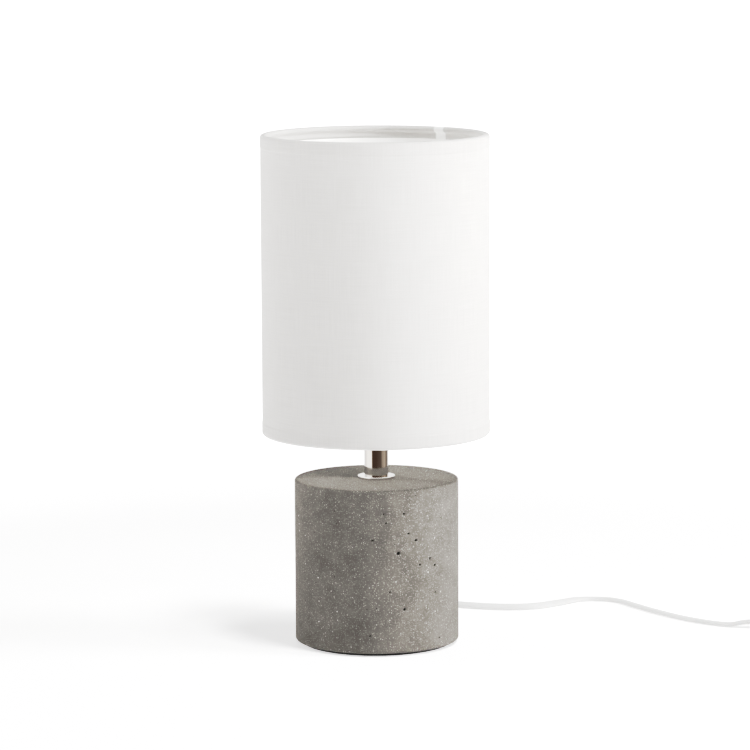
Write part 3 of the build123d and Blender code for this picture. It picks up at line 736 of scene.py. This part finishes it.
chrome = bare_metal("chrome", (0.86, 0.85, 0.84), 0.07, 0.05, 0.004, (1, 1, 0.08))
zinc = bare_metal("zinc plate", (0.66, 0.67, 0.69), 0.38, 0.2, 0.002)
brass = bare_metal("brass", (0.78, 0.58, 0.29), 0.3, 0.15, 0.002)
cap_metal = bare_metal("bulb cap", (0.77, 0.76, 0.74), 0.28, 0.12, 0.0015)
nickel = bare_metal("nickel plate", (0.74, 0.72, 0.68), 0.22, 0.12, 0.0015)
for node in ("stem_tube", "stem_flange"):
    dress(node, chrome)
for node in ("threaded_rod", "bottom_nut", "bottom_washer", "lock_washer", "rocker_pin", "switch_screws"):
    dress(node, zinc)
for node in ("terminal_screws", "holder_screw_shell", "holder_centre_contact", "switch_terminals"):
    dress(node, brass)
dress("bulb_screw_cap", cap_metal)
dress("bulb_contact", nickel)
dress("plug_pins", nickel)

# %% [markdown]
# ## Plastics and coated wire
# A moulded part has a fine spark-eroded grain, which is a small bump and an uneven gloss.

# %% Plastic finishes
def moulded(name, colour, roughness, grain=0.0005, depth=0.00004, **constants):
    """A moulded plastic: its grain is grain metres across and depth metres deep."""
    finish = Finish(name, colour, roughness, **constants)
    texture = finish.noise(grain, 2)
    broad = finish.noise(0.015, 2)
    finish.feed(Roughness=broad * 0.12 + (roughness - 0.06))
    darker = tuple(0.93 * c for c in colour)
    finish.feed(Base_Color=finish.mix(broad, rgb(*darker), rgb(*colour)))
    return finish.bump(texture, depth)


black = moulded("black moulding", (0.018, 0.018, 0.019), 0.42)
pale = moulded("pale moulding", (0.76, 0.76, 0.745), 0.42)
coated = moulded("white coated wire", (0.82, 0.82, 0.80), 0.35, 0.002, 0.00003)
for node in ("holder_cap", "holder_skirt", "shade_ring"):
    dress(node, black)
for node in ("cord_gland", "switch_lower_case", "switch_upper_case", "plug_body", "plug_boot", "pin_sleeves",
             "coil_tie"):
    dress(node, pale)
for node in ("fitter_ring", "spider_arm_1", "spider_arm_2", "spider_arm_3", "bottom_ring", "top_ring"):
    dress(node, coated)
dress("holder_core", moulded("core moulding", (0.66, 0.63, 0.56), 0.5))
dress("switch_rocker", moulded("rocker moulding", (0.80, 0.80, 0.785), 0.22, 0.003, 0.00001))
dress("bulb_globe", moulded("frosted globe", (0.86, 0.855, 0.83), 0.5, 0.0008, 0.00002))
dress("bulb_collar", moulded("collar moulding", (0.80, 0.80, 0.79), 0.25, 0.003, 0.00001))
dress("led_board", moulded("board", (0.72, 0.66, 0.3), 0.5))
dress("bulb_insulator", moulded("black glass", (0.015, 0.015, 0.018), 0.12, 0.003, 0.00001))
dress("core_wire_brown", moulded("brown sheath", (0.16, 0.06, 0.025), 0.4))
dress("core_wire_blue", moulded("blue sheath", (0.02, 0.08, 0.36), 0.4))
dress("inner_cord", cord_finish)

# %% [markdown]
# ## Studio
# The lamp stands on a white table under a high soft light, which throws a short shadow to the
# rear left. A low light on the right models the round walls, and a weak one on the left keeps
# the far side from going flat. The shade's cloth and liner are thin and let the lights
# through, so they throw no shadow of their own. The table glows a little, and more with the
# distance from the lamp, so that it meets the white room without an edge.

# %% Table
GLOW_NEAR, GLOW_FAR = 0.28, 1.3
GLOW_START, GLOW_END = 0.45, 1.2


def stage_table(name, half):
    """A flat square table top whose own glow rises with the distance from the lamp."""
    sides = np.array([-half, half], dtype=float)
    across, deep = np.meshgrid(sides, sides)
    corners = np.stack([across, deep, np.zeros((2, 2))], axis=-1)
    table = surface(name, corners, wrap_columns=False)
    finish = Finish(name, (0.93, 0.93, 0.93), 0.6, Emission_Strength=1.0)
    away = finish.node("ShaderNodeVectorMath", {"operation": "LENGTH"}, {0: finish.place()}, output="Value")
    near, far = rgb(GLOW_NEAR, GLOW_NEAR, GLOW_NEAR), rgb(GLOW_FAR, GLOW_FAR, GLOW_FAR)
    finish.feed(Emission_Color=finish.mix(away.band(GLOW_START, GLOW_END), near, far))
    table.data.materials.append(finish.material)
    table.visible_glossy = False
    return table


stage_table("table_top", 14)

# %% Lights
LOOK_AT = np.array([0, 0, 0.17])


def soft_light(name, bearing, rise, distance, size, power):
    """A square light facing the lamp: degrees to the right of the front and up, metres and watts."""
    turn, up = math.radians(bearing), math.radians(rise)
    towards = np.array([math.sin(turn) * math.cos(up), -math.cos(turn) * math.cos(up), math.sin(up)])
    light = bpy.data.lights.new(name, "AREA")
    light.size = size
    light.energy = power
    holder = bpy.data.objects.new(name, light)
    holder.location = LOOK_AT + distance * towards
    holder.rotation_euler = (math.pi / 2 - up, 0, turn)
    holder.visible_glossy = False
    bpy.context.collection.objects.link(holder)


soft_light("side_light", 82, 15, 2.0, 0.7, 22.5)
soft_light("high_light", 46, 58, 2.2, 0.5, 30)
soft_light("left_fill", -108, 18, 2.4, 1.2, 16)
for piece in (shade_cloth, parts["shade_liner"], liner_tape):
    piece.visible_shadow = False

# %% [markdown]
# ## The room
# To the camera the room is plain white, and as a light it is dim and even. In a mirror it has
# what a studio has: the dark gap where the camera stands, white walls at the left and behind,
# and greyer things at the right. The gradient runs once round by bearing: the front is at 0
# and 1, the left at 0.25, the back at 0.5 and the right at 0.75.

# %% World
world = bpy.data.worlds.new("room")
bpy.context.scene.world = world
world.use_nodes = True
tree = world.node_tree
tree.nodes.clear()
ROOM_LIGHT = 0.07
ROOM_SEEN = 1.6
WARM_DARK = (0.07, 0.048, 0.036)
ROOM_RAMP = [(0.0, WARM_DARK), (0.104, WARM_DARK), (0.131, (0.7, 0.66, 0.61)), (0.26, (0.74, 0.70, 0.65)),
             (0.335, (0.4, 0.385, 0.37)), (0.4, (0.7, 0.69, 0.68)), (0.56, (0.7, 0.69, 0.68)),
             (0.61, (0.5, 0.48, 0.45)), (0.665, (0.12, 0.1, 0.085)), (0.76, (0.25, 0.22, 0.19)),
             (0.84, (0.2, 0.175, 0.15)), (0.875, (0.1, 0.08, 0.066)), (0.93, (0.085, 0.064, 0.052)),
             (1.0, WARM_DARK)]


def room_node(kind, settings, inputs, output=0):
    """Add a node to the world: settings first, then numbers or links into its inputs."""
    made = tree.nodes.new(kind)
    for key, value in settings.items():
        setattr(made, key, value)
    for key, value in inputs.items():
        if isinstance(value, bpy.types.NodeSocket):
            tree.links.new(value, made.inputs[key])
        else:
            made.inputs[key].default_value = value
    return made.outputs[output]


def room_background(colour, strength):
    """The world as one kind of ray sees it."""
    return room_node("ShaderNodeBackground", {}, {"Color": colour, "Strength": strength})


def choose(ray, first, second):
    """The second background for one kind of ray, and the first for all others."""
    kind = room_node("ShaderNodeLightPath", {}, {}, output=ray)
    return room_node("ShaderNodeMixShader", {}, {0: kind, 1: first, 2: second})


way = room_node("ShaderNodeTexCoord", {}, {}, output="Generated")
apart = room_node("ShaderNodeSeparateXYZ", {}, {0: way}).node
flat_way = {0: apart.outputs["X"], 1: apart.outputs["Y"]}
bearing = room_node("ShaderNodeMath", {"operation": "ARCTAN2"}, flat_way)
turn = room_node("ShaderNodeMapRange", {}, {"Value": bearing, "From Min": -math.pi, "From Max": math.pi})
mirrored = room_node("ShaderNodeValToRGB", {}, {"Fac": turn})
stops = mirrored.node.color_ramp.elements
while len(stops) < len(ROOM_RAMP):
    stops.new(1.0)
for stop, (place, colour) in zip(stops, ROOM_RAMP):
    stop.position = place
    stop.color = (*colour, 1)

lighting = room_background(rgb(1, 1, 1), ROOM_LIGHT)
lighting = choose("Is Glossy Ray", lighting, room_background(mirrored, 1.0))
seen = choose("Is Camera Ray", lighting, room_background(rgb(1, 1, 1), ROOM_SEEN))
tree.links.new(seen, tree.nodes.new("ShaderNodeOutputWorld").inputs["Surface"])

# %% [markdown]
# ## The film's response
# The tone curve of film is an S: it deepens the darks a little, lifts the middle and bends
# over towards white, which keeps some tone in a white shade on a white ground.

# %% Tone curve
settings = bpy.context.scene.view_settings
settings.view_transform = "Standard"
settings.use_curve_mapping = True
FILM = [(0.0, 0.0), (0.042, 0.033), (0.104, 0.147), (0.217, 0.46), (0.379, 0.694), (0.8, 0.93),
        (0.94, 0.99), (1.0, 1.0)]
mapping = settings.curve_mapping
tone = mapping.curves[3]
for place, level in FILM[1:-1]:
    tone.points.new(place, level)
mapping.update()
